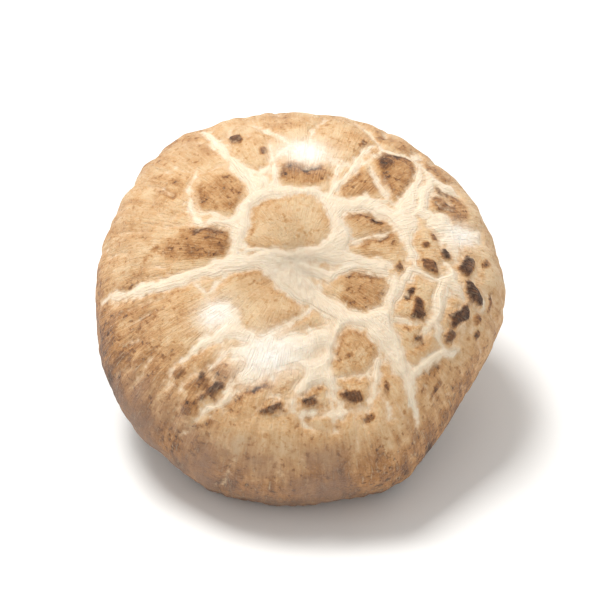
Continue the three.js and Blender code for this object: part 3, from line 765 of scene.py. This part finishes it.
def makeStem():
    piece = turnedPiece("stem", stem["profile"], stem["columns"])
    rounding = piece.modifiers.new("rounding", "SUBSURF")
    rounding.levels = rounding.render_levels = stem["levels"]
    bpy.ops.object.modifier_apply(modifier="rounding")
    points = readPoints(piece)
    turn = np.arctan2(points[:, 0], -points[:, 1])
    radius = np.hypot(points[:, 0], points[:, 1])
    height = points[:, 2]
    weft = np.column_stack((np.sin(turn), -np.cos(turn), height / stem["weftRadius"]))
    twice, thrice = stem["flutes"]
    flutes = twice * np.cos(2 * turn + stem["fluteTurn"]) + thrice * np.cos(3 * turn)
    broad, fine = stem["fibreTurns"]
    fibres = grain(weft * broad, 1, 20) + stem["fineShare"] * grain(weft * fine, 1, 21)
    lumps = stem["lumpDepth"] * grain(points, stem["lumpSize"], 22)
    outer = smooth(radius, *stem["fibreFrom"])
    radius = radius * (1 + flutes) + outer * (stem["fibreDepth"] * fibres + lumps)
    share = np.maximum(stem["bendStart"] - height, 0) / (stem["bendStart"] + stemReach())
    bend = form["stemBend"]
    moved = np.column_stack((
        bend[0] * share**2 + radius * np.sin(turn),
        bend[1] * share**2 - radius * np.cos(turn),
        height,
    ))
    writePoints(piece, moved)
    writeAttribute(piece, "weft", weft)
    writeAttribute(piece, "fibres", fibres)
    return piece


def cutStem(piece):  # cut flat at the table, the cut face inset
    bpy.ops.object.mode_set(mode="EDIT")
    bpy.ops.mesh.select_all(action="SELECT")
    bpy.ops.mesh.bisect(plane_co=(0, 0, 0), plane_no=(0, 0, 1), use_fill=True, clear_inner=True)
    bpy.ops.mesh.inset(thickness=stem["cutEdge"] * mm)
    bpy.ops.object.mode_set(mode="OBJECT")
    bpy.ops.object.shade_smooth_by_angle(angle=stem["sharpAngle"])


stemPiece = makeStem()
layDown(stemPiece)
cutStem(stemPiece)
pressFlat(stemPiece)
writeAttribute(stemPiece, "cut", 1 - smooth(readPoints(stemPiece)[:, 2], *stem["cutHeight"]))
print("stem:", len(stemPiece.data.polygons), "faces")


def paint(code):  # an sRGB hex colour as linear RGBA
    parts = [int(code[start:start + 2], 16) / 255 for start in (1, 3, 5)]
    return (*[part / 12.92 if part <= 0.04045 else ((part + 0.055) / 1.055) ** 2.4 for part in parts], 1)


def addNode(tree, kind, links=None, **settings):  # settings are properties, links are socket values
    node = tree.nodes.new("ShaderNode" + kind)
    for name, value in settings.items():
        setattr(node, name, value)
    for socket, value in (links or {}).items():
        if isinstance(value, bpy.types.NodeSocket):
            tree.links.new(value, node.inputs[socket])
        else:
            node.inputs[socket].default_value = value
    return node


# a Mix node gives its values and its colours sockets of one name, so they go by number
mixShare, valueA, valueB, colourA, colourB, mixedColour = 0, 2, 3, 6, 7, 2


def newMaterial(name):
    material = bpy.data.materials.new(name)
    material.use_nodes = True
    material.node_tree.nodes.clear()
    return material, material.node_tree


def perMm(size):  # texture scale for lumps of that size in mm, on coordinates in metres
    return 1 / (size * mm)


# Mushroom cap skin: dry brown suede that split as it grew, with moist cream flesh in the splits
capLook = {
    "tones": [  # from the palest skin to the darkest flakes
        (0.0, "#e8c79b"), (0.25, "#d5a672"), (0.5, "#b27d48"), (0.75, "#7d5230"), (1.0, "#452812"),
    ],
    # flesh beside the skin and in narrow cracks: partly browned, partly painted shade
    "fleshEdgeBrownAndShade": "#e3c097",
    "flesh": "#f8e6cb",
    # white of the bare patches: partly the flesh's own, partly a painted highlight
    "bareFleshAndHighlight": "#fdf6ea",
    "lumps": {  # noise on the skin: size in mm, detail and roughness
        "ragged": (1.1, 4.0, 0.55),
        "mottle": (2.6, 5.0, 0.6),
        "nap": (0.42, 3.0, 0.65),  # the real nap is finer; drawn as coarse as it needs to show
        "speck": (0.8, 2.0, 0.5),
        "cotton": (0.9, 5.0, 0.65),  # wide patches of flesh are cottony
        "blotch": (9.0, 3.0, 0.55),
    },
    # radial noise: lumps round the cap and down it
    "combed": {"fibres": (70, 70, 14), "bands": (22, 22, 3.5)},
    "parts": {  # what the noise is used for: from and to, and the tone, mm or share that it gives
        "mottled": ("mottle", 0.3, 0.7, -0.2, 0.2),
        "streaked": ("fibres", 0.3, 0.7, -0.12, 0.12),
        "banded": ("bands", 0.3, 0.7, -0.2, 0.2),
        "specked": ("speck", 0.57, 0.7, 0.0, 0.34),
        "jitter": ("ragged", 0.25, 0.75, -0.5, 0.5),  # of the skin's edge
        # white in the bare patches, partly a painted highlight
        "whitenedAndHighlit": ("cotton", 0.36, 0.58, 0.62, 1.0),
    },
    # darkest tone at the plates' edges: partly their own darker rim, mostly painted shadow on the light's
    # side
    "edgeDarkAndShadowTone": 0.44,
    "covers": [  # what lies over the brown: its noise from and to, greatest share, field and colour
        ("nap", 0.52, 0.72, 0.5, "pale", "#ecd3ab"),
        ("fibres", 0.58, 0.72, 0.55, "whole", "#ecd3ab"),  # dashes of torn fibre round the split area
        ("blotch", 0.3, 0.64, 0.85, "bloomAndShade", "#987963"),  # grey bloom, partly painted shade low at the front
    ],
    "strandMm": 0.45,  # strands of flesh lie along the cords
    "strandRunMm": 8.0,
    "reliefMm": 0.45,
}


def makeCapMaterial():
    material, tree = newMaterial("splitSuedeCapSkin")
    place = addNode(tree, "TexCoord").outputs["Object"]
    weft = addNode(tree, "Attribute", attribute_name="weft").outputs["Vector"]
    field, lumps, parts = {}, {}, {}
    for name in ("skin", "tone", "whole", "bare", "bloomAndShade", "edge"):
        field[name] = addNode(tree, "Attribute", attribute_name=name).outputs["Fac"]
    for name, source in (("pale", "tone"), ("split", "whole")):
        field[name] = addNode(tree, "Math", {0: 1.0, 1: field[source]}, operation="SUBTRACT").outputs[0]
    for name, (size, detail, roughness) in capLook["lumps"].items():
        lumps[name] = addNode(tree, "TexNoise", {
            "Vector": place, "Scale": perMm(size), "Detail": detail, "Roughness": roughness,
        }).outputs[0]
    for name, turns in capLook["combed"].items():
        combed = addNode(tree, "Mapping", {"Vector": weft, "Scale": turns}).outputs[0]
        lumps[name] = addNode(tree, "TexNoise", {
            "Vector": combed, "Scale": 1.0, "Detail": 4.0, "Roughness": 0.6,
        }).outputs[0]
    for name, (lump, start, end, low, high) in capLook["parts"].items():
        parts[name] = addNode(tree, "MapRange", {
            "Value": lumps[lump], "From Min": start, "From Max": end, "To Min": low, "To Max": high,
        }).outputs[0]
    for name, where in (("banded", "whole"), ("whitenedAndHighlit", "bare")):
        parts[name] = addNode(tree, "Math", {
            0: parts[name], 1: field[where],
        }, operation="MULTIPLY").outputs[0]
    # the skin ends raggedly
    inside = addNode(tree, "Math", {0: field["skin"], 1: parts["jitter"]}, operation="ADD").outputs[0]
    mask = addNode(tree, "MapRange", {
        "Value": inside, "From Min": -0.7, "From Max": 0.5,
    }, interpolation_type="SMOOTHSTEP").outputs[0]
    # tone: each plate's own, mottled, streaked and specked, a little darker round its edge, with a painted
    # shadow along its edge on the light's side
    edgeDarkAndShadow = addNode(tree, "MapRange", {
        "Value": inside, "From Min": 0.1, "From Max": 1.3, "To Min": capLook["edgeDarkAndShadowTone"], "To Max": 0.0,
    }, interpolation_type="SMOOTHSTEP").outputs[0]
    # a fifth of the edge darkening lies round every edge, the rest is painted shadow on the light's side
    upper = addNode(tree, "Math", {
        0: field["edge"], 1: 0.8, 2: 0.2,
    }, operation="MULTIPLY_ADD").outputs[0]
    for share in (upper, field["split"]):
        edgeDarkAndShadow = addNode(tree, "Math", {0: edgeDarkAndShadow, 1: share}, operation="MULTIPLY").outputs[0]
    shade = parts["mottled"]
    for part in (parts["streaked"], parts["banded"], parts["specked"], edgeDarkAndShadow):
        shade = addNode(tree, "Math", {0: shade, 1: part}, operation="ADD").outputs[0]
    # the pale skin is plainer than the brown
    vivid = addNode(tree, "MapRange", {
        "Value": field["tone"], "From Max": 0.35, "To Min": 0.5,
    }).outputs[0]
    shade = addNode(tree, "Math", {
        0: shade, 1: vivid, 2: field["tone"],
    }, operation="MULTIPLY_ADD", use_clamp=True).outputs[0]
    ramp = addNode(tree, "ValToRGB", {"Fac": shade})
    steps = ramp.color_ramp.elements
    for position, code in capLook["tones"][1:-1]:
        steps.new(position)
    for step, (position, code) in zip(steps, capLook["tones"]):
        step.position = position
        step.color = paint(code)
    brown = ramp.outputs[0]
    for name, start, end, most, where, code in capLook["covers"]:
        share = addNode(tree, "MapRange", {
            "Value": lumps[name], "From Min": start, "From Max": end, "To Max": most,
        }).outputs[0]
        share = addNode(tree, "Math", {0: share, 1: field[where]}, operation="MULTIPLY").outputs[0]
        brown = addNode(tree, "Mix", {
            mixShare: share, colourA: brown, colourB: paint(code),
        }, data_type="RGBA").outputs[mixedColour]
    # flesh: strands along the cords, found by their distance from the edge of the skin; darker near that
    # edge and in narrow cracks, partly browning and partly painted shade
    drawn = addNode(tree, "VectorMath", {
        0: place, "Scale": perMm(capLook["strandRunMm"]),
    }, operation="SCALE").outputs[0]
    across = addNode(tree, "Math", {
        0: field["skin"], 1: 1 / capLook["strandMm"],
    }, operation="MULTIPLY").outputs[0]
    drawn = addNode(tree, "VectorMath", {0: drawn, 1: across}, operation="ADD").outputs[0]
    strands = addNode(tree, "TexNoise", {
        "Vector": drawn, "Scale": 1.0, "Detail": 3.0, "Roughness": 0.6,
    }).outputs[0]
    wide = addNode(tree, "MapRange", {
        "Value": field["skin"], "From Min": -0.9, "From Max": -1.7, "To Max": 0.85,
    }).outputs[0]
    strands = addNode(tree, "Mix", {
        mixShare: wide, valueA: strands, valueB: lumps["cotton"],
    }).outputs[0]
    deep = addNode(tree, "MapRange", {
        "Value": inside, "From Min": 0.1, "From Max": -0.9,
    }, interpolation_type="SMOOTHSTEP").outputs[0]
    frayed = addNode(tree, "MapRange", {
        "Value": strands, "From Min": 0.35, "From Max": 0.6, "To Min": 0.6, "To Max": 1.0,
    }).outputs[0]
    deep = addNode(tree, "Math", {0: deep, 1: frayed}, operation="MULTIPLY").outputs[0]
    flesh, bareFleshAndHighlight = paint(capLook["flesh"]), paint(capLook["bareFleshAndHighlight"])
    colour = paint(capLook["fleshEdgeBrownAndShade"])
    for share, over in ((deep, flesh), (mask, brown), (parts["whitenedAndHighlit"], bareFleshAndHighlight)):
        colour = addNode(tree, "Mix", {
            mixShare: share, colourA: colour, colourB: over,
        }, data_type="RGBA").outputs[mixedColour]
    rough = addNode(tree, "MapRange", {
        "Value": mask, "To Min": 0.5, "To Max": 0.72,
    }).outputs[0]
    # relief: nap on the skin, strands on the flesh, soft fibres on both, a thin step where the skin ends
    unmasked = addNode(tree, "Math", {0: 1.0, 1: mask}, operation="SUBTRACT").outputs[0]
    relief = lumps["fibres"]
    for height, share in ((lumps["nap"], mask), (0.3, mask), (strands, unmasked)):
        relief = addNode(tree, "Math", {
            0: share, 1: height, 2: relief,
        }, operation="MULTIPLY_ADD").outputs[0]
    bump = addNode(tree, "Bump", {
        "Strength": 0.8, "Distance": capLook["reliefMm"] * mm, "Height": relief,
    })
    surface = addNode(tree, "BsdfPrincipled", {
        "Base Color": colour, "Roughness": rough, "Normal": bump.outputs[0], "IOR": 1.4,
        "Subsurface Weight": 0.1, "Subsurface Radius": (1.0, 0.55, 0.3), "Subsurface Scale": 1.2 * mm,
        "Sheen Weight": 0.1, "Sheen Roughness": 0.5,
    })
    addNode(tree, "OutputMaterial", {"Surface": surface.outputs[0]})
    return material


# Gill flesh: moist, matt cream with painted shade towards the roots, spotted where it is drying
gillLook = {
    "edge": "#f4dfc4",
    # painted shade deep between the blades, at their roots
    "root": "#c0916a",
    "spot": "#b98d5c",
    "spotMm": 3.0,
    "grainMm": 0.5,
    "reliefMm": 0.1,
}


def makeGillMaterial():
    material, tree = newMaterial("creamGillFlesh")
    place = addNode(tree, "TexCoord").outputs["Object"]
    depth = addNode(tree, "Attribute", attribute_name="depth").outputs["Fac"]
    spots = addNode(tree, "TexNoise", {
        "Vector": place, "Scale": perMm(gillLook["spotMm"]), "Detail": 4.0, "Roughness": 0.65,
    })
    fine = addNode(tree, "TexNoise", {
        "Vector": place, "Scale": perMm(gillLook["grainMm"]), "Detail": 2.0,
    })
    # painted shade: darker towards the roots
    cream = addNode(tree, "Mix", {
        mixShare: depth, colourA: paint(gillLook["edge"]), colourB: paint(gillLook["root"]),
    }, data_type="RGBA").outputs[mixedColour]
    spotted = addNode(tree, "MapRange", {
        "Value": spots.outputs[0], "From Min": 0.56, "From Max": 0.72, "To Max": 0.6,
    }).outputs[0]
    colour = addNode(tree, "Mix", {
        mixShare: spotted, colourA: cream, colourB: paint(gillLook["spot"]),
    }, data_type="RGBA").outputs[mixedColour]
    bump = addNode(tree, "Bump", {
        "Strength": 0.3, "Distance": gillLook["reliefMm"] * mm, "Height": fine.outputs[0],
    })
    surface = addNode(tree, "BsdfPrincipled", {
        "Base Color": colour, "Roughness": 0.6, "Normal": bump.outputs[0], "IOR": 1.4,
        "Subsurface Weight": 0.2, "Subsurface Radius": (1.0, 0.7, 0.45), "Subsurface Scale": 1.0 * mm,
    })
    addNode(tree, "OutputMaterial", {"Surface": surface.outputs[0]})
    return material


# Stem flesh: tough lengthwise fibres, cream with tan streaks and brown flecks of torn skin
stemLook = {
    "pale": "#f0ddc0",
    "streak": "#cba274",
    "fleck": "#8f6238",
    "cutFace": "#f6ead2",
    "fleckMm": 1.6,
    "fibreTurns": (22, 22, 1.4),  # lumps round the stem and down it
    "reliefMm": 0.3,
}


def makeStemMaterial():
    material, tree = newMaterial("fibrousStemFlesh")
    place = addNode(tree, "TexCoord").outputs["Object"]
    weft = addNode(tree, "Attribute", attribute_name="weft").outputs["Vector"]
    furrow = addNode(tree, "Attribute", attribute_name="fibres").outputs["Fac"]
    cut = addNode(tree, "Attribute", attribute_name="cut").outputs["Fac"]
    combed = addNode(tree, "Mapping", {"Vector": weft, "Scale": stemLook["fibreTurns"]})
    fibres = addNode(tree, "TexNoise", {
        "Vector": combed.outputs[0], "Scale": 1.0, "Detail": 6.0, "Roughness": 0.65,
    })
    torn = addNode(tree, "TexNoise", {
        "Vector": place, "Scale": perMm(stemLook["fleckMm"]), "Detail": 4.0, "Roughness": 0.6,
    })
    streaked = addNode(tree, "MapRange", {
        "Value": fibres.outputs[0], "From Min": 0.42, "From Max": 0.68, "To Max": 0.9,
    }).outputs[0]
    cream = addNode(tree, "Mix", {
        mixShare: streaked, colourA: paint(stemLook["pale"]), colourB: paint(stemLook["streak"]),
    }, data_type="RGBA").outputs[mixedColour]
    hollow = addNode(tree, "MapRange", {
        "Value": furrow, "From Min": 0.1, "From Max": -0.8, "To Max": 0.5,
    }).outputs[0]
    cream = addNode(tree, "Mix", {
        mixShare: hollow, colourA: cream, colourB: paint(stemLook["streak"]),
    }, data_type="RGBA").outputs[mixedColour]
    flecked = addNode(tree, "MapRange", {
        "Value": torn.outputs[0], "From Min": 0.6, "From Max": 0.7, "To Max": 0.75,
    }).outputs[0]
    colour = addNode(tree, "Mix", {
        mixShare: flecked, colourA: cream, colourB: paint(stemLook["fleck"]),
    }, data_type="RGBA").outputs[mixedColour]
    # the cut face has no fibres to show, and dries in patches
    dried = addNode(tree, "MapRange", {
        "Value": torn.outputs[0], "From Min": 0.45, "From Max": 0.7, "To Max": 0.5,
    }).outputs[0]
    face = addNode(tree, "Mix", {
        mixShare: dried, colourA: paint(stemLook["cutFace"]), colourB: paint(stemLook["streak"]),
    }, data_type="RGBA").outputs[mixedColour]
    colour = addNode(tree, "Mix", {
        mixShare: cut, colourA: colour, colourB: face,
    }, data_type="RGBA").outputs[mixedColour]
    relief = addNode(tree, "Mix", {
        mixShare: cut, valueA: fibres.outputs[0], valueB: torn.outputs[0],
    }).outputs[0]
    bump = addNode(tree, "Bump", {
        "Strength": 0.6, "Distance": stemLook["reliefMm"] * mm, "Height": relief,
    })
    surface = addNode(tree, "BsdfPrincipled", {
        "Base Color": colour, "Roughness": 0.68, "Normal": bump.outputs[0], "IOR": 1.4,
        "Subsurface Weight": 0.15, "Subsurface Radius": (1.0, 0.6, 0.35), "Subsurface Scale": 1.5 * mm,
    })
    addNode(tree, "OutputMaterial", {"Surface": surface.outputs[0]})
    return material


dressed = [
    (capPiece, makeCapMaterial(), "cap_skin"),
    (gillPiece, makeGillMaterial(), "pale_flesh"),
    (stemPiece, makeStemMaterial(), "pale_flesh"),
]
for piece, material, slot in dressed:
    piece.data.materials.clear()
    piece.data.materials.append(material)
    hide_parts("shiitake")
    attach(piece, "root")
print("materials:", [material.name for piece, material, slot in dressed])

# Studio: a pale floor, one big soft light from above, a little left and behind, a fill and a white room
studio = {
    "floor": "#f6f5f2",
    "floorSize": 8.0,
    "floorDrop": 0.02,  # mm below the mushroom's rest
    "roomColour": "#ffffff",
    "room": 0.63,
    "keyPower": 8.5,
    "keySize": 0.35,
    "keyPlace": (-0.28, 0.22, 0.92),
    "fillPower": 0.5,
    "fillSize": 0.6,
    "fillPlace": (0.5, -0.8, 0.4),
}


def makeFloor():
    bpy.ops.object.select_all(action="DESELECT")
    bpy.ops.mesh.primitive_plane_add(size=studio["floorSize"], location=(0, 0, -studio["floorDrop"] * mm))
    floor = bpy.context.object
    floor.name = "floor"
    material, tree = newMaterial("paleStudioFloor")
    surface = addNode(tree, "BsdfPrincipled", {
        "Base Color": paint(studio["floor"]), "Roughness": 0.7,
    })
    addNode(tree, "OutputMaterial", {"Surface": surface.outputs[0]})
    floor.data.materials.append(material)


def makeLight(name, power, size, place, target):
    bpy.ops.object.light_add(type="AREA", location=place)
    light = bpy.context.object
    light.name = name
    light.data.energy = power
    light.data.size = size
    light.rotation_euler = (Vector(target) - Vector(place)).to_track_quat("-Z", "Y").to_euler()


view = {
    "azimuth": 0.0,
    "elevation": 39.5,
    "lens": 180.0,
    "frameWidth": 92.0,  # mm across the picture at the mushroom
}


def makeCamera(target):
    lift, turn = math.radians(view["elevation"]), math.radians(view["azimuth"])
    back = Vector((math.sin(turn) * math.cos(lift), -math.cos(turn) * math.cos(lift), math.sin(lift)))
    bpy.ops.object.camera_add()
    camera = bpy.context.object
    camera.data.lens = view["lens"]
    distance = view["frameWidth"] * mm * view["lens"] / camera.data.sensor_width
    camera.location = target + back * distance
    camera.rotation_euler = (-back).to_track_quat("-Z", "Y").to_euler()
    bpy.context.scene.camera = camera


middle = (cadBox[0] + cadBox[1]) / 2
makeFloor()
makeLight("key", studio["keyPower"], studio["keySize"], studio["keyPlace"], middle)
makeLight("fill", studio["fillPower"], studio["fillSize"], studio["fillPlace"], middle)
makeCamera(middle)
world = bpy.data.worlds.new("studioRoom")
world.use_nodes = True
background = world.node_tree.nodes["Background"]
background.inputs["Color"].default_value = paint(studio["roomColour"])
background.inputs["Strength"].default_value = studio["room"]
bpy.context.scene.world = world
bpy.context.scene.view_settings.view_transform = "Standard"
print("studio: camera at", tuple(round(x, 3) for x in bpy.context.scene.camera.location))
